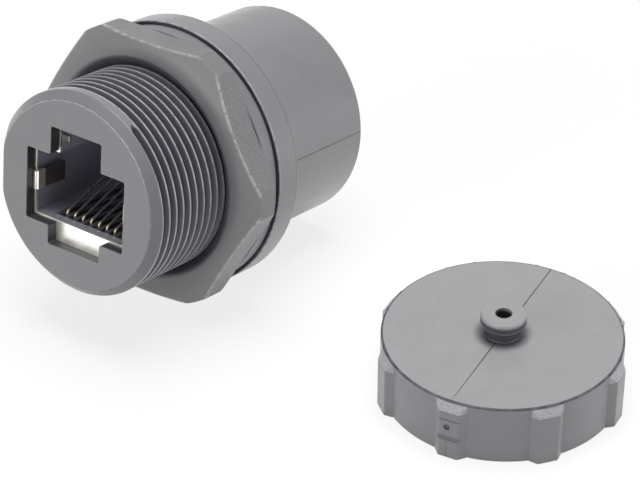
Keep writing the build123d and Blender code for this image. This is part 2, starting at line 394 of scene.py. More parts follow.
def settle(piece, place, body, node, material):
    """Lays the finished piece at its place in metres, on its body, for its node."""
    piece.matrix_world = place
    planted(piece)
    piece.data.materials.clear()
    piece.data.materials.append(material)
    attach(piece, body)
    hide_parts(node)
    return piece


# Materials


class Recipe:
    """Nodes of one material, in a pattern space in millimetres with z along the axis."""

    def __init__(self, name, place):
        self.material = bpy.data.materials.new(name)
        self.material.use_nodes = True
        self.tree = self.material.node_tree
        self.shader = self.tree.nodes["Principled BSDF"]
        coordinates = self.tree.nodes.new("ShaderNodeTexCoord")
        turn = self.tree.nodes.new("ShaderNodeMapping")
        turn.vector_type = "TEXTURE"
        turn.inputs["Location"].default_value = place.to_translation()
        turn.inputs["Rotation"].default_value = place.to_euler("XYZ")
        turn.inputs["Scale"].default_value = (MM, MM, MM)
        self.tree.links.new(coordinates.outputs["Object"], turn.inputs["Vector"])
        self.space = turn.outputs["Vector"]
        split = self.node("SeparateXYZ", Vector=self.space)
        self.x = split.outputs["X"]
        self.y = split.outputs["Y"]
        self.z = split.outputs["Z"]
        self.radius = self.length(self.x, self.y)

    def node(self, kind, **inputs):
        made = self.tree.nodes.new("ShaderNode" + kind)
        for name, value in inputs.items():
            self.feed(made.inputs[name], value)
        return made

    def feed(self, socket, value):
        if isinstance(value, bpy.types.NodeSocket):
            self.tree.links.new(value, socket)
        else:
            socket.default_value = value

    def noise(self, scale, detail=2.0, stretch=None):
        space = self.space
        if stretch:
            space = self.node("Mapping", Vector=space, Scale=stretch).outputs["Vector"]
        return self.node("TexNoise", Vector=space, Scale=scale, Detail=detail).outputs["Fac"]

    def math(self, operation, *values):
        made = self.tree.nodes.new("ShaderNodeMath")
        made.operation = operation
        for socket, value in zip(made.inputs, values):
            self.feed(socket, value)
        return made.outputs[0]

    def times(self, first, *others):
        for other in others:
            first = self.math("MULTIPLY", first, other)
        return first

    def length(self, a, b):
        return self.math("SQRT", self.math("ADD", self.times(a, a), self.times(b, b)))

    def towards(self, angle):
        """How far a point lies out in a direction across the axis, in degrees."""
        angle = radians(angle)
        return self.math("ADD", self.times(self.x, cos(angle)), self.times(self.y, sin(angle)))

    def between(self, value, low, high, out_low=0.0, out_high=1.0):
        """Rises or falls smoothly between two limits."""
        made = self.tree.nodes.new("ShaderNodeMapRange")
        made.interpolation_type = "SMOOTHSTEP"
        made.inputs["From Min"].default_value = low
        made.inputs["From Max"].default_value = high
        made.inputs["To Min"].default_value = out_low
        made.inputs["To Max"].default_value = out_high
        self.feed(made.inputs["Value"], value)
        return made.outputs["Result"]

    def mix(self, factor, first, second):
        """Two colours mixed. Sockets 6 and 7 are the ones for colours."""
        made = self.tree.nodes.new("ShaderNodeMix")
        made.data_type = "RGBA"
        self.feed(made.inputs["Factor"], factor)
        self.feed(made.inputs[6], first)
        self.feed(made.inputs[7], second)
        return made.outputs[2]

    def paint(self, mask, colour):
        """Lays a colour over what is there, where the mask is."""
        self.colour = self.mix(mask, self.colour, colour)

    def bump(self, height, distance, under=None):
        made = self.tree.nodes.new("ShaderNodeBump")
        made.inputs["Distance"].default_value = distance * MM
        self.feed(made.inputs["Height"], height)
        if under is not None:
            self.feed(made.inputs["Normal"], under)
        return made.outputs["Normal"]

    def finished(self):
        self.feed(self.shader.inputs["Base Color"], self.colour)
        return self.material


def tone(level, tint=4):
    """A colour from its level on the screen, 0 to 255, slightly blue."""
    def light(value):
        value = value / 255
        return value / 12.92 if value < 0.04045 else ((value + 0.055) / 1.055) ** 2.4
    return (light(level), light(level), light(level + tint), 1)


def moulded(name, place, level, roughness, grain, grain_depth, mottle=4, tint=4):
    """Satin moulded plastic: a spark-eroded grain, slow mottling and a slightly uneven gloss."""
    made = Recipe(name, place)
    cloud = made.noise(0.35, 3)
    made.fine = made.noise(grain, 3)
    made.colour = made.mix(cloud, tone(level - mottle, tint), tone(level + mottle, tint))
    made.paint(made.between(made.fine, 0.35, 0.7, 0, 0.25), tone(level + 4 * mottle, tint))
    uneven = made.between(cloud, 0.3, 0.7, roughness - 0.04, roughness + 0.05)
    made.feed(made.shader.inputs["Roughness"], uneven)
    made.feed(made.shader.inputs["Normal"], made.bump(made.fine, grain_depth))
    return made


def metal(name, place, roughness, bump, metallic):
    """Bright plated metal with a faint drawn grain."""
    made = Recipe(name, place)
    made.shader.inputs["Metallic"].default_value = metallic
    uneven = made.between(made.noise(0.6, 2), 0.3, 0.7, roughness - 0.05, roughness + 0.08)
    made.feed(made.shader.inputs["Roughness"], uneven)
    made.feed(made.shader.inputs["Normal"], made.bump(made.noise(6, 3, (1, 6, 1)), bump))
    made.depth = made.math("ABSOLUTE", made.math("SUBTRACT", made.z, BOARD_MIDDLE))
    return made


def thread_painted_shade_and_highlight(made):
    """The thread's grooves are painted dark as shade, and its crests carry painted highlight lines, broken by
    streaks.
    """
    turn = made.times(made.math("ARCTAN2", made.y, made.x), PITCH / (2 * pi))
    phase = made.math("FRACT", made.math("SUBTRACT", made.math("SUBTRACT", made.z, turn), GROOVE_PHASE))
    from_crest = made.math("ABSOLUTE", made.math("SUBTRACT", phase, 0.5))
    threaded = made.times(
        made.between(made.z, FLANGE_FRONT, FLANGE_FRONT + 0.1),
        made.between(made.z, THREAD_END - 0.05, THREAD_END, 1, 0),
        made.between(made.x, -KEY_FLAT - 0.01, -KEY_FLAT + 0.02),
    )
    below_crest = made.between(made.radius, THREAD_CREST - 0.07, THREAD_CREST - 0.005, 1, 0)
    # Painted shade down in the grooves
    made.paint(made.times(threaded, below_crest), tone(72, 10))
    # Painted highlight along the crests
    streaks = made.between(made.noise(1.5, 2), 0.25, 0.6, 0.3, 1)
    made.paint(made.times(threaded, made.between(from_crest, 0.02, 0.11, 0.8, 0), streaks), tone(200, 6))


def nose_slope_and_painted_highlight(made):
    """The slope round the front face is painted darker, most towards the bottom, with a ragged painted
    highlight along the upper part of its border with the face.
    """
    ragged = made.math("ADD", made.radius, made.times(made.noise(2.5, 4), 0.3))
    border = THREAD_CREST - NOSE_CHAMFER + 0.15
    slope = made.times(
        made.between(ragged, border - 0.03, border + 0.05),
        made.between(made.z, THREAD_END - 0.05, THREAD_END + 0.05),
        made.between(made.y, -2, 8, 0.8, 0.35),
    )
    # Painted darker, most towards the bottom
    made.paint(slope, tone(98, 4))
    # Painted highlight along the upper part of the face's border
    border_highlight = made.times(
        made.between(ragged, border - 0.12, border - 0.07),
        made.between(ragged, border - 0.05, border, 0.7, 0),
        made.between(made.y, 1, 7),
        made.between(made.z, FRONT_FACE - 0.2, FRONT_FACE - 0.1),
    )
    made.paint(border_highlight, tone(PAINTED_HIGHLIGHT))


def flange_painted_shade_and_highlight(made):
    """The ledge round the washer is painted dark as shade, the flange's front edge carries a painted
    highlight, and the rounding at its rear edge is painted darker as shade.
    """
    ledge = made.times(
        made.between(made.z, FLANGE_FRONT - 0.06, FLANGE_FRONT - 0.02),
        made.between(made.z, FLANGE_FRONT + 0.02, FLANGE_FRONT + 0.06, 1, 0),
        made.between(made.radius, WASHER_RADIUS - 0.2, WASHER_RADIUS),
        made.between(made.radius, FLANGE_RADIUS - 0.2, FLANGE_RADIUS - 0.1, 0.9, 0),
    )
    # Painted shade on the ledge between the washer and the flange's rim
    made.paint(ledge, tone(45, 12))
    corner = FLANGE_RADIUS + FLANGE_FRONT
    edge = made.times(
        made.between(made.math("ADD", made.radius, made.z), corner - 0.17, corner - 0.1),
        made.between(made.z, FLANGE_FRONT - 0.3, FLANGE_FRONT - 0.2),
        made.between(made.z, FLANGE_FRONT + 0.02, FLANGE_FRONT + 0.06, 1, 0),
        made.between(made.noise(2.2, 3), 0.35, 0.65, 0.1, 0.8),
    )
    # Painted highlight along the flange's front edge
    made.paint(edge, tone(PAINTED_HIGHLIGHT))
    rear_edge = made.times(
        made.between(made.radius, FLANGE_RADIUS - 0.45, FLANGE_RADIUS - 0.2),
        made.between(made.z, BARREL_LENGTH + 0.3, BARREL_LENGTH + 0.5, 0.5, 0),
    )
    # Painted shade over the rear edge's rounding
    made.paint(rear_edge, tone(85))


def inked_parting(made):
    """The lines that the mould leaves along the barrel hold a little dirt."""
    aside = made.math("ABSOLUTE", made.towards(PARTING_ANGLES[0] + 90))
    line = made.times(
        made.between(aside, 0.03, 0.1, 0.8, 0),
        made.between(made.radius, BARREL_RADIUS - 0.02, BARREL_RADIUS - 0.01),
        made.between(made.z, BARREL_LENGTH, BARREL_LENGTH + 0.1, 1, 0),
    )
    made.paint(line, tone(80))


def shaded_window_walls(made):
    """The walls of the window are painted dark as shade, darker than the face round it."""
    walls = made.times(
        made.between(made.radius, WINDOW_REACH, WINDOW_REACH + 0.2, 1, 0),
        made.between(made.z, FRONT_INNER - 0.3, FRONT_INNER - 0.1),
        made.between(made.z, FRONT_FACE - 0.16, FRONT_FACE - 0.05, 0.85, 0),
    )
    # Painted shade on the window's walls
    made.paint(walls, tone(38, 6))


def grained_flats_and_painted_light(made):
    """The nut's flats have a coarse sparkling grain, its front edges carry a painted highlight, and its mouth
    is painted dark as shade.
    """
    across = made.math("ABSOLUTE", made.towards(90))
    for angle in (30, -30):
        across = made.math("MAXIMUM", across, made.math("ABSOLUTE", made.towards(angle)))
    flat = made.between(across, NUT_FLATS / 2 - 0.06, NUT_FLATS / 2 - 0.02)
    grain = made.noise(9, 4)
    made.paint(made.times(flat, 0.5), tone(112, 2))
    made.paint(made.times(flat, made.between(grain, 0.5, 0.7, 0, 0.4)), tone(190))
    made.paint(made.times(flat, made.between(grain, 0.3, 0.48, 0.4, 0)), tone(95))
    slope = made.times(made.math("SUBTRACT", made.radius, NUT_FACE), -tan(NUT_SLOPE))
    from_face = made.math("SUBTRACT", made.math("SUBTRACT", made.z, NUT_FRONT), slope)
    edge = made.times(
        made.between(from_face, -0.22, -0.1),
        made.between(across, NUT_FLATS / 2 - 0.2, NUT_FLATS / 2 - 0.1),
        made.between(made.noise(2.5, 3), 0.35, 0.6, 0.2, 0.8),
    )
    # Painted highlight along the flats' front edges
    made.paint(edge, tone(PAINTED_HIGHLIGHT))
    # Painted shade at the mouth round the thread
    made.paint(made.between(made.radius, NUT_MOUTH + 0.1, NUT_MOUTH + 0.45, 0.85, 0), tone(78, 12))
    rough = made.bump(made.times(grain, flat), 0.06, made.bump(made.fine, 0.012))
    made.feed(made.shader.inputs["Normal"], rough)


def shaded_cap_wall(made):
    """The cap's wall is painted darker than its top, as painted shade under light from above."""
    # Painted shade on the cap's wall
    made.paint(made.between(made.radius, CAP_RADIUS - 0.1, CAP_RADIUS - 0.02, 0, 0.8), tone(120, 4))


def darkened_rim(made):
    """A dark line is painted where the cap's top turns down."""
    rim = made.times(
        made.between(made.radius, CAP_RADIUS - 0.26, CAP_RADIUS - 0.18),
        made.between(made.z, CAP_HEIGHT - 0.2, CAP_HEIGHT - 0.13),
        made.between(made.noise(1.2, 2), 0.3, 0.6, 0.7, 0.95),
    )
    # A dark line painted at the rounding of the top's edge
    made.paint(rim, tone(52, 12))


def inked_weld(made):
    """The weld line across the cap's top, fainter at its front end."""
    shift = WELD_SHIFT * cos(radians(WELD_ANGLE))
    aside = made.math("ABSOLUTE", made.math("SUBTRACT", made.towards(WELD_ANGLE + 90), shift))
    line = made.times(
        made.between(aside, 0.04, 0.09, 1, 0),
        made.between(made.z, CAP_HEIGHT - 0.08, CAP_HEIGHT - 0.02),
        made.between(made.z, CAP_HEIGHT + 0.1, CAP_HEIGHT + 0.3, 1, 0),
        made.between(made.y, -11, -5, 0.3, 0.8),
    )
    made.paint(line, tone(70))


def knob_painted_shade_and_reflection(made):
    """Painted shadow round the knob's foot and painted shade on its neck, with a painted reflection along the
    lower edge of its head.
    """
    foot = made.times(
        made.between(made.radius, KNOB_HEAD - 0.4, KNOB_HEAD + 0.9, 0.7, 0),
        made.between(made.z, CAP_HEIGHT + 0.3, CAP_HEIGHT + 0.4, 1, 0),
    )
    neck = made.times(
        made.between(made.radius, KNOB_HEAD, KNOB_HEAD + 0.1, 0.85, 0),
        made.between(made.z, CAP_HEIGHT + 0.02, CAP_HEIGHT + 0.06),
        made.between(made.z, KNOB_TOP - 0.55, KNOB_TOP - 0.2, 1, 0),
    )
    # Painted shadow on the cap's top round the foot, and painted shade on the neck
    made.paint(made.math("MAXIMUM", foot, neck), tone(34, 12))
    lip = made.times(
        made.between(made.z, KNOB_SEAT + 0.02, KNOB_SEAT + 0.1),
        made.between(made.z, KNOB_SEAT + 0.2, KNOB_SEAT + 0.3, 1, 0),
        made.between(made.radius, KNOB_HEAD - 0.3, KNOB_HEAD - 0.2, 0, 0.6),
        made.between(made.radius, KNOB_HEAD + 0.1, KNOB_HEAD + 0.2, 1, 0),
    )
    # Painted reflection along the head's lower edge
    made.paint(lip, tone(150, 10))


def shaded_gate_marks(made):
    """The sunken dot, band and step on the marked lug are painted dark as shade."""
    aside = made.math("ADD", made.towards(MARKED_LUG + 90), -GATE_ASIDE)
    apart = made.length(aside, made.math("SUBTRACT", made.z, GATE_HEIGHT))
    low, high = BAND_HEIGHTS
    band = made.times(
        made.between(made.z, low, low + 0.1),
        made.between(made.z, high - 0.2, high + 0.05, 0.5, 0),
    )
    low, high = STEP_HEIGHTS
    step = made.times(
        made.between(made.z, low - 0.02, low + 0.02),
        made.between(made.z, high - 0.02, high + 0.02, 0.6, 0),
    )
    dark = made.math("MAXIMUM", made.between(apart, GATE_RADIUS, GATE_RADIUS + 0.08, 0.8, 0), band)
    dark = made.math("MAXIMUM", dark, step)
    on_face = made.between(made.towards(MARKED_LUG), LUG_REACH - 0.3, LUG_REACH - 0.2)
    # Painted shade in the sunken gate marks
    made.paint(made.times(dark, on_face), tone(62))


def lit_lug_slopes(made):
    """The slopes on top of the cap's lugs are painted paler, as painted light from above, speckled by the
    grain.
    """
    slope_foot = LUG_TOP - LUG_SLOPE
    pale = made.times(
        made.between(made.radius, CAP_RADIUS + 0.01, CAP_RADIUS + 0.05),
        made.between(made.z, slope_foot - 0.02, slope_foot + 0.05),
        made.between(made.fine, 0.35, 0.6, 0.4, 0.85),
    )
    # Painted light on the upward-facing lug slopes
    made.paint(pale, tone(182))


def shaded_shield(made):
    """Bright at the mouth, and dull deeper in, where the cavity shades it."""
    deep = made.between(made.depth, SHADE_DEPTH, SHADE_DEPTH + 0.15, 1, 0)
    inner = made.times(deep, made.between(made.y, -4.6, -4.3))
    inner = made.math("MAXIMUM", inner, made.between(made.y, 3.6, 3.9, 0, 0.85))
    made.colour = made.mix(inner, BRIGHT_SHEET, SHADED_SHEET)


def gilded_tip(made):
    """Gilding that shows at the wires' front bends, with the rest in the cavity's shade."""
    made.colour = made.mix(made.between(made.depth, BEND_DEPTH, BEND_DEPTH + 0.3), SHADED_WIRE, GILDING)


def dressed(made, *details):
    for detail in details:
        detail(made)
    return made.finished()


housing_plastic = dressed(
    moulded("housing_plastic", coupler_place, 134, 0.34, 7, 0.01, tint=3),
    thread_painted_shade_and_highlight, nose_slope_and_painted_highlight, flange_painted_shade_and_highlight, inked_parting, shaded_window_walls,
)
nut_plastic = dressed(moulded("nut_plastic", coupler_place, 126, 0.42, 7, 0.012, 5, 2), grained_flats_and_painted_light)
washer_rubber = dressed(moulded("washer_rubber", coupler_place, 128, 0.45, 3, 0.006, tint=6))
cap_plastic = dressed(
    moulded("cap_plastic", cap_place, 158, 0.42, 6, 0.035, 6, 2),
    shaded_cap_wall, inked_weld, darkened_rim, knob_painted_shade_and_reflection, shaded_gate_marks, lit_lug_slopes,
)
socket_black = dressed(moulded("socket_black", coupler_place, 166, 0.4, 4, 0.006, 2, 12))
comb_black = dressed(moulded("comb_black", coupler_place, 100, 0.45, 4, 0.006, 2, 12))
seal_rubber = dressed(moulded("seal_rubber", coupler_place, 44, 0.6, 4, 0.02, 3))
board_lacquer = dressed(moulded("board_lacquer", coupler_place, 60, 0.3, 4, 0.01))
plated_sheet = dressed(metal("plated_sheet", coupler_place, 0.32, 0.004, 0.8), shaded_shield)
gilded_wire = dressed(metal("gilded_wire", coupler_place, 0.3, 0.003, 0.75), gilded_tip)

# Camera


def set_camera():
    lens = bpy.data.cameras.new("photo_view")
    lens.lens = LENS_LENGTH
    lens.sensor_width = 36
    lens.clip_start = 0.02
    lens.clip_end = 5
    camera = bpy.data.objects.new("photo_view", lens)
    camera.location = CAMERA_SPOT
    camera.rotation_euler = (CAMERA_TILT, 0, CAMERA_TURN)
    bpy.context.scene.collection.objects.link(camera)
    bpy.context.scene.camera = camera


set_camera()

# Housing


def keyed_window():
    """Solid of the window's outline: the main opening, the latch notch and the grounding notch."""
    low = FRONT_INNER - 0.5
    high = FRONT_FACE + 0.5
    half = WINDOW_WIDTH / 2
    window = block("window", (-half, WINDOW_FLOOR, low), (half, WINDOW_TOP, high))
    notch = LATCH_WIDTH / 2
    combine(window, block("latch", (-notch, 0, low), (notch, LATCH_TOP, high)), "UNION")
    notch = GROUND_WIDTH / 2
    combine(window, block("ground", (-notch, GROUND_FLOOR, low), (notch, 0, high)), "UNION")
    tidy(window)
    pick(window, "FACE", lambda c, n: True)
    bpy.ops.mesh.dissolve_limited(angle_limit=radians(1))
    done()
    pick(window, "EDGE", lambda a, b: abs(a.z - b.z) > 0.5)
    bpy.ops.mesh.bevel(offset=WINDOW_ROUND, segments=3)
    done()
    return window


def thread_groove():
    """Groove between the thread's turns, running out to nothing at its front end."""
    first, second, last = [GROOVE_MOUTH + more for more in GROOVE_FLARE]
    groove = wound(
        "thread_groove",
        THREAD_ROOT,
        THREAD_CREST - CREST_EASE,
        (GROOVE_FLOOR, first),
        GROOVE_TURNS,
        GROOVE_END,
        GROOVE_END_HEIGHT,
        flare=((CREST_EASE, second), (CREST_EASE, last)),
    )
    outwards = Vector((cos(GROOVE_END), sin(GROOVE_END), 0))
    sideways = Vector((-sin(GROOVE_END), cos(GROOVE_END), 0))

    def last_section(point):
        in_line = point @ outwards > 0 and abs(point @ sideways) < 0.05
        return in_line and point.z > GROOVE_END_HEIGHT - PITCH / 2

    pick(groove, "VERT", last_section)
    bpy.ops.transform.translate(value=outwards * (THREAD_CREST - THREAD_ROOT - 0.04))
    done()
    return groove


def parting_line(angle):
    """Faint raised line that the mould leaves along the barrel."""
    half = PARTING_WIDTH / 2
    low = (BARREL_RADIUS - 0.4, -half, RIM_ROUND)
    line = block("parting_line", low, (BARREL_RADIUS, half, BARREL_LENGTH - 0.1))
    pick(line, "FACE", lambda c, n: n.x > 0.9)
    bpy.ops.mesh.extrude_region_move(TRANSFORM_OT_translate={"value": (PARTING_HEIGHT, 0, 0)})
    bpy.ops.transform.resize(value=(1, 0.3, 1), center_override=(0, 0, BARREL_LENGTH / 2))
    done()
    line.rotation_euler.z = radians(angle)
    return tidy(planted(line))


def threaded_housing():
    """One moulding: barrel, flange and threaded nose with its keyed window."""
    face_edge = THREAD_CREST - NOSE_CHAMFER
    housing = turned("threaded_housing", [
        (BARREL_RADIUS / 2, 0, 0),
        (BARREL_RADIUS, 0, RIM_ROUND),
        (BARREL_RADIUS, BARREL_LENGTH, 0.12),
        (FLANGE_RADIUS, BARREL_LENGTH, RIM_ROUND),
        (FLANGE_RADIUS, FLANGE_FRONT, FLANGE_EDGE),
        (THREAD_CREST, FLANGE_FRONT, 0),
        (THREAD_CREST, FRONT_FACE - NOSE_CHAMFER, 0.3),
        (face_edge, FRONT_FACE, 0.4),
        (face_edge / 2, FRONT_FACE, 0),
    ])
    for angle in PARTING_ANGLES:
        combine(housing, parting_line(angle), "UNION")
    low = (-THREAD_CREST - 1, -THREAD_CREST, FLANGE_FRONT + 0.01)
    combine(housing, block("key", low, (-KEY_FLAT, THREAD_CREST, FRONT_FACE + 1)), "DIFFERENCE")
    combine(housing, thread_groove(), "DIFFERENCE")
    pocket = turned("pocket", [(POCKET_RADIUS, -1, 0), (POCKET_RADIUS, SEAL_SEAT, 0)])
    half = INSERT_SIDE / 2
    seat = turned("seat", [(INSERT_RADIUS, SEAL_SEAT - 0.1, 0), (INSERT_RADIUS, FRONT_INNER, 0)])
    combine(seat, block("square", (-half, -half, 0), (half, half, FRONT_FACE)), "INTERSECT")
    combine(seat, keyed_window(), "UNION")
    combine(pocket, seat, "UNION")
    combine(housing, pocket, "DIFFERENCE")

    def window_edge(a, b):
        on_face = min(a.z, b.z) > FRONT_FACE - 0.001
        return on_face and max(a.xy.length, b.xy.length) < THREAD_CREST - NOSE_CHAMFER - 0.5

    pick(housing, "EDGE", window_edge)
    bpy.ops.mesh.bevel(offset=WINDOW_EDGE, segments=2)
    done()
    return smooth(housing)


settle(threaded_housing(), coupler_place, "coupler", "housing", housing_plastic)

# Nut and washer


def ridge_widths(clearance=0.0):
    """Widths of a thread's ridge at its root and crest, with room on each side."""
    return (PITCH - GROOVE_FLOOR + 2 * clearance, PITCH - GROOVE_MOUTH + 2 * clearance)


def tap(name, low, high):
    """What a tap leaves: a thread with a little room round the nose's own, opened out in its front half."""
    core = turned(name, [
        (THREAD_ROOT + THREAD_GAP, low - 1, 0),
        (THREAD_ROOT + THREAD_GAP, NUT_RELIEF, 0),
        (THREAD_CREST + THREAD_GAP, NUT_RELIEF, 0),
        (THREAD_CREST + THREAD_GAP, high + 1, 0),
    ])
    turns = ceil(high - low) + 2
    turns_back = ceil((GROOVE_END_HEIGHT - high) / PITCH) - 1
    end = GROOVE_END_HEIGHT + PITCH / 2 - turns_back * PITCH
    wind = wound(name + "_ridge", THREAD_ROOT + THREAD_GAP - 0.1, THREAD_CREST + THREAD_GAP,
                 ridge_widths(0.02), turns, GROOVE_END, end)
    return combine(core, wind, "UNION")


def flat_relief(angle):
    """Shallow hollow under the middle of one flat, where the nut stands off the washer."""
    bpy.ops.object.select_all(action="DESELECT")
    bpy.ops.mesh.primitive_cylinder_add(vertices=32, radius=1, depth=1.2, rotation=(0, pi / 2, 0))
    bpy.context.object.scale = (RELIEF_HEIGHT, RELIEF_LENGTH / 2, 1)
    hollow = named("relief")
    hollow.location = (NUT_FLATS / 2 * cos(angle), NUT_FLATS / 2 * sin(angle), NUT_BACK)
    hollow.rotation_euler.z = angle
    return planted(hollow)


def hexagon_nut():
    radius = NUT_FLATS / 2 / cos(pi / 6)
    bpy.ops.object.select_all(action="DESELECT")
    bpy.ops.mesh.primitive_cylinder_add(
        vertices=6,
        radius=radius,
        depth=NUT_FRONT - NUT_BACK + 1,
        location=(0, 0, (NUT_FRONT + NUT_BACK) / 2 + 0.5),
        rotation=(0, 0, pi / 6),
    )
    nut = named("hexagon_nut")
    drop = (NUT_CORNER - NUT_FACE) * tan(NUT_SLOPE)
    blank = turned("blank", [
        (NUT_CORNER - 0.15, NUT_BACK + 0.001, 0),
        (NUT_CORNER, NUT_BACK + 0.15, 0),
        (NUT_CORNER, NUT_FRONT - drop, 0.1),
        (NUT_FACE, NUT_FRONT, NUT_FACE_ROUND),
        (NUT_MOUTH, NUT_FRONT, NUT_MOUTH_ROUND),
        (THREAD_ROOT - 0.5, NUT_FRONT - NUT_MOUTH + THREAD_ROOT - 0.5, 0),
    ])
    combine(nut, blank, "INTERSECT")
    rounded(tidy(nut), NUT_EDGE, 22)
    back_mouth = turned("back_mouth", [
        (NUT_MOUTH + 0.5, NUT_BACK - 0.5, 0),
        (THREAD_ROOT - 0.5, NUT_BACK + NUT_MOUTH - THREAD_ROOT + 0.5, 0),
    ])
    combine(nut, tap("tap", NUT_BACK, NUT_FRONT), "DIFFERENCE")
    combine(nut, back_mouth, "DIFFERENCE")
    for number in range(6):
        combine(nut, flat_relief(number * pi / 3 + pi / 6), "DIFFERENCE")
    return smooth(nut)


settle(hexagon_nut(), coupler_place, "nut", "panel_nut", nut_plastic)

washer = turned("flat_washer", [
    (WASHER_BORE, FLANGE_FRONT, 0.1),
    (WASHER_RADIUS, FLANGE_FRONT, 0.25),
    (WASHER_RADIUS, NUT_BACK, 0.25),
    (WASHER_BORE, NUT_BACK, 0.1),
], solid=False)
settle(smooth(washer), coupler_place, "washer", "panel_gasket", washer_rubber)

# Dust cap


def grip_lugs():
    """Eight tapered lugs round the cap's wall, as one set."""
    root = CAP_RADIUS - LUG_ROOT
    lug = block("lug", (root, -LUG_BASE / 2, 0), (LUG_REACH, LUG_BASE / 2, LUG_TOP))
    pick(lug, "VERT", lambda p: p.x > CAP_RADIUS)
    bpy.ops.transform.resize(value=(1, LUG_FACE / LUG_BASE, 1), center_override=(0, 0, 0))
    done()
    pick(lug, "VERT", lambda p: p.x > CAP_RADIUS and p.z > LUG_TOP / 2)
    bpy.ops.transform.translate(value=(0, 0, -LUG_SLOPE))
    done()
    pick(lug, "EDGE", lambda a, b: min(a.x, b.x) > CAP_RADIUS and max(a.z, b.z) > 0.1)
    bpy.ops.mesh.bevel(offset=0.1, segments=2)
    done()
    copies = []
    for number in range(LUG_COUNT):
        copy = lug.copy()
        copy.data = lug.data.copy()
        bpy.context.scene.collection.objects.link(copy)
        copy.rotation_euler.z = radians(LUG_START + number * 360 / LUG_COUNT)
        copies.append(copy)
    bpy.data.objects.remove(lug)
    bpy.ops.object.select_all(action="DESELECT")
    for copy in copies:
        copy.select_set(True)
    bpy.context.view_layer.objects.active = copies[0]
    bpy.ops.object.transform_apply(location=True, rotation=True, scale=True)
    bpy.ops.object.join()
    return bpy.context.object


def weld_line():
    """Fine line across the cap's top where the plastic met in the mould."""
    high = (CAP_RADIUS - 0.2, 0.05, CAP_HEIGHT + 0.2)
    line = block("weld", (-CAP_RADIUS + 0.7, -0.05, CAP_HEIGHT - 0.05), high)
    pick(line, "FACE", lambda c, n: n.z < -0.9)
    bpy.ops.transform.resize(value=(1, 0.2, 1), center_override=(0, 0, CAP_HEIGHT))
    done()
    line.location = (0, WELD_SHIFT, 0)
    line.rotation_euler.z = radians(WELD_ANGLE)
    return planted(line)


def gate_marks():
    """On one lug: the gate's sunken dot, a fine step above it, a worn band below and the split under that."""
    face = LUG_REACH
    half = LUG_FACE / 2
    low, high = STEP_HEIGHTS
    step = block("step", (face - 0.05, -half - 0.2, low), (face + 0.2, half + 0.3, high))
    low, high = BAND_HEIGHTS
    band = block("band", (face - 0.06, -half - 0.25, low), (face + 0.2, half + 0.25, high))
    split = block("split", (face - 0.04, -0.18, 0.1), (face + 0.2, -0.11, low + 0.1))
    bpy.ops.object.select_all(action="DESELECT")
    bpy.ops.mesh.primitive_cylinder_add(
        vertices=24,
        radius=GATE_RADIUS,
        depth=0.3,
        location=(face + 0.05, GATE_ASIDE, GATE_HEIGHT),
        rotation=(0, pi / 2, 0),
    )
    dot = named("dot")
    for mark in (step, band, split):
        combine(dot, mark, "UNION")
    dot.rotation_euler.z = radians(MARKED_LUG)
    return tidy(planted(dot))


def screw_cap():
    cap = turned("screw_cap", [
        (CAP_RADIUS / 2, 0, 0),
        (CAP_RADIUS, 0, 0.12),
        (CAP_RADIUS, CAP_HEIGHT, CAP_RIM),
        (KNOB_NECK, CAP_HEIGHT, 0.2),
        (KNOB_NECK, KNOB_SEAT, 0.08),
        (KNOB_HEAD, KNOB_SEAT, KNOB_ROUND),
        (KNOB_HEAD, KNOB_TOP, KNOB_ROUND),
        (KNOB_HOLE, KNOB_TOP, 0.08),
        (KNOB_HOLE, KNOB_HOLE_FLOOR, 0),
    ])
    combine(cap, grip_lugs(), "UNION")
    bore = turned("bore", [
        (THREAD_CREST + 0.6, -0.2, 0),
        (THREAD_ROOT + CAP_THREAD_GAP, 0.8, 0),
        (THREAD_ROOT + CAP_THREAD_GAP, CAP_RELIEF_START, 0),
        (CAP_RELIEF, CAP_RELIEF_START, 0),
        (CAP_RELIEF, CAP_CEILING, 0.1),
        (CAP_RELIEF / 2, CAP_CEILING, 0),
    ])
    crest = THREAD_CREST + CAP_THREAD_GAP
    widths = ridge_widths(0.04)
    wind = wound("cap_thread", THREAD_ROOT, crest, widths, CAP_THREAD_TURNS, 0, CAP_RELIEF_START)
    combine(bore, wind, "UNION")
    combine(cap, bore, "DIFFERENCE")
    combine(cap, gate_marks(), "DIFFERENCE")
    room = KNOB_HEAD + 0.3
    knob_room = turned("knob_room", [(room, CAP_HEIGHT - 1, 0), (room, CAP_HEIGHT + 1, 0)])
    combine(cap, combine(weld_line(), knob_room, "DIFFERENCE"), "DIFFERENCE")
    return smooth(cap)


settle(screw_cap(), cap_place, "coupler", "dust_cap", cap_plastic)

# Sockets and what closes them


def spring_wire(name):
    """One contact: along the floor, round the bend behind the mouth and back up into the socket."""
    points = eased(WIRE_ROUTE)
    line = bpy.data.curves.new(name, "CURVE")
    line.dimensions = "3D"
    line.bevel_depth = WIRE_THICKNESS / 2
    line.bevel_resolution = 2
    line.use_fill_caps = True
    route = line.splines.new("POLY")
    route.points.add(len(points) - 1)
    for spot, point in zip(route.points, points):
        spot.co = (0, point.x, point.y, 1)
    piece = bpy.data.objects.new(name, line)
    bpy.context.scene.collection.objects.link(piece)
    take(piece)
    bpy.ops.object.convert(target="MESH")
    piece = bpy.context.object
    bpy.ops.object.select_all(action="DESELECT")
    bpy.ops.mesh.primitive_uv_sphere_add(
        segments=12,
        ring_count=8,
        radius=WIRE_TIP_RADIUS,
        location=WIRE_TIP,
    )
    bpy.context.object.scale = WIRE_TIP_SHAPE
    named("tip")
    piece.select_set(True)
    bpy.context.view_layer.objects.active = piece
    bpy.ops.object.join()
    return smooth(tidy(bpy.context.object), 50)


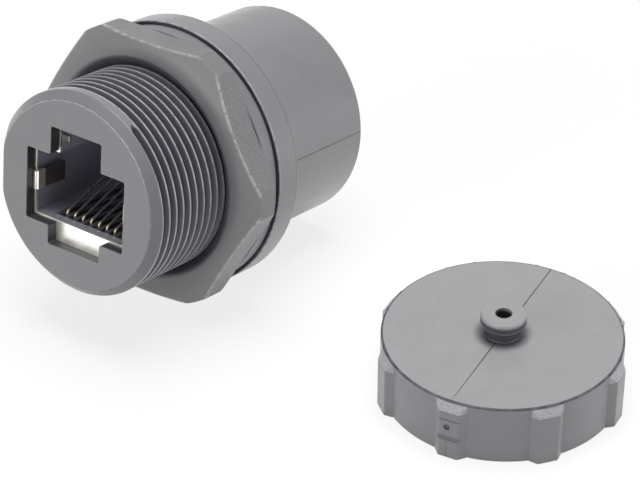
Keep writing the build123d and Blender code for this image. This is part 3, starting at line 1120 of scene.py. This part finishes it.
board_middle = Matrix.Translation((0, 0, BOARD_MIDDLE))
socket_places = {
    "front": coupler_place @ board_middle,
    "rear": coupler_place @ board_middle @ Matrix.Rotation(pi, 4, "X"),
}
for end, place in socket_places.items():
    for number in range(1, WIRE_COUNT + 1):
        along = Matrix.Translation(((number - (WIRE_COUNT + 1) / 2) * WIRE_PITCH, 0, 0))
        wire = spring_wire(f"{end}_spring_wire_{number}")
        settle(wire, place @ along, "coupler", f"{end}_contact_{number}", gilded_wire)


def eased_copy(node, name, width, material):
    """The node's own form with its sharp edges rounded over."""
    piece = frame["nodes"][node].copy()
    piece.data = piece.data.copy()
    del piece["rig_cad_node"]
    piece.name = name
    piece.data.name = name
    bpy.context.scene.collection.objects.link(piece)
    tidy(piece, 0.000002)
    bpy.ops.object.mode_set(mode="EDIT")
    bpy.ops.mesh.select_all(action="SELECT")
    bpy.ops.mesh.dissolve_limited(angle_limit=radians(0.5))
    done()
    rounded(piece, width * MM, 40)
    return settle(smooth(piece), Matrix.Identity(4), "coupler", node, material)


for end, place in socket_places.items():
    eased_copy(end + "_shield", end + "_shield_can", 0.04, plated_sheet)
    lance = block(end + "_shield_lance", LANCE_LOW, LANCE_HIGH)
    pick(lance, "EDGE", lambda a, b: min(a.x, b.x) > -2.5 and abs(a.z - b.z) < 0.1)
    bpy.ops.mesh.bevel(offset=0.08, segments=2)
    done()
    settle(lance, place, "coupler", end + "_shield", plated_sheet)
    eased_copy(end + "_jack_body", end + "_socket_moulding", 0.06, socket_black)
    eased_copy(end + "_contact_comb", end + "_slotted_floor", 0.03, comb_black)
eased_copy("rear_bezel", "rear_closing_ring", 0.12, housing_plastic)
eased_copy("insert_seal", "insert_gasket", 0.08, seal_rubber)
eased_copy("cap_seal", "cap_gasket", 0.1, seal_rubber)
eased_copy("circuit_board", "lacquered_board", 0.04, board_lacquer)

# Floor and light


def set_stage():
    bpy.ops.object.select_all(action="DESELECT")
    bpy.ops.mesh.primitive_plane_add(size=6, location=(0, 0, 0))
    floor = named("floor")
    material = bpy.data.materials.new("pale_floor")
    material.use_nodes = True
    tree = material.node_tree
    shader = tree.nodes["Principled BSDF"]
    shader.inputs["Roughness"].default_value = 0.9
    shader.inputs["Specular IOR Level"].default_value = 0.0
    path = tree.nodes.new("ShaderNodeLightPath")
    shade = tree.nodes.new("ShaderNodeMapRange")
    shade.inputs["To Min"].default_value = FLOOR_COLOUR
    shade.inputs["To Max"].default_value = FLOOR_SHADE
    tree.links.new(path.outputs["Is Camera Ray"], shade.inputs["Value"])
    tree.links.new(shade.outputs["Result"], shader.inputs["Base Color"])
    seen = tree.nodes.new("ShaderNodeMath")
    seen.operation = "MAXIMUM"
    tree.links.new(path.outputs["Is Camera Ray"], seen.inputs[0])
    tree.links.new(path.outputs["Is Glossy Ray"], seen.inputs[1])
    shader.inputs["Emission Color"].default_value = (1, 1, 1, 1)
    ground = tree.nodes.new("ShaderNodeTexCoord")
    distance = tree.nodes.new("ShaderNodeVectorMath")
    distance.operation = "LENGTH"
    tree.links.new(ground.outputs["Object"], distance.inputs[0])
    pale = tree.nodes.new("ShaderNodeMapRange")
    pale.inputs["From Min"].default_value = FLOOR_NEAR
    pale.inputs["From Max"].default_value = FLOOR_FAR
    pale.inputs["To Min"].default_value = FLOOR_WHITE
    tree.links.new(distance.outputs["Value"], pale.inputs["Value"])
    lift = tree.nodes.new("ShaderNodeMath")
    lift.operation = "MULTIPLY"
    tree.links.new(pale.outputs["Result"], lift.inputs[1])
    tree.links.new(seen.outputs[0], lift.inputs[0])
    tree.links.new(lift.outputs[0], shader.inputs["Emission Strength"])
    floor.data.materials.append(material)


def lamp(name, place, size, power):
    """Soft rectangular lamp aimed at the middle of the floor."""
    light = bpy.data.lights.new(name, "AREA")
    light.shape = "RECTANGLE"
    light.size, light.size_y = size
    light.energy = power
    made = bpy.data.objects.new(name, light)
    made.location = place
    made.rotation_euler = (-Vector(place)).to_track_quat("-Z", "Y").to_euler()
    bpy.context.scene.collection.objects.link(made)


def set_light():
    world = bpy.data.worlds.new("studio")
    bpy.context.scene.world = world
    world.use_nodes = True
    tree = world.node_tree
    backdrop = tree.nodes["Background"]
    backdrop.inputs["Color"].default_value = (1, 1, 1, 1)
    path = tree.nodes.new("ShaderNodeLightPath")
    gloss = tree.nodes.new("ShaderNodeMath")
    gloss.operation = "MULTIPLY"
    gloss.inputs[1].default_value = SKY_GLOSS
    tree.links.new(path.outputs["Is Glossy Ray"], gloss.inputs[0])
    seen = tree.nodes.new("ShaderNodeMath")
    seen.operation = "MAXIMUM"
    tree.links.new(path.outputs["Is Camera Ray"], seen.inputs[0])
    tree.links.new(gloss.outputs[0], seen.inputs[1])
    tree.links.new(seen.outputs[0], backdrop.inputs["Strength"])
    for name, (place, size, power) in LAMPS.items():
        lamp(name, place, size, power)


set_stage()
set_light()
bpy.context.scene.view_settings.view_transform = "Standard"
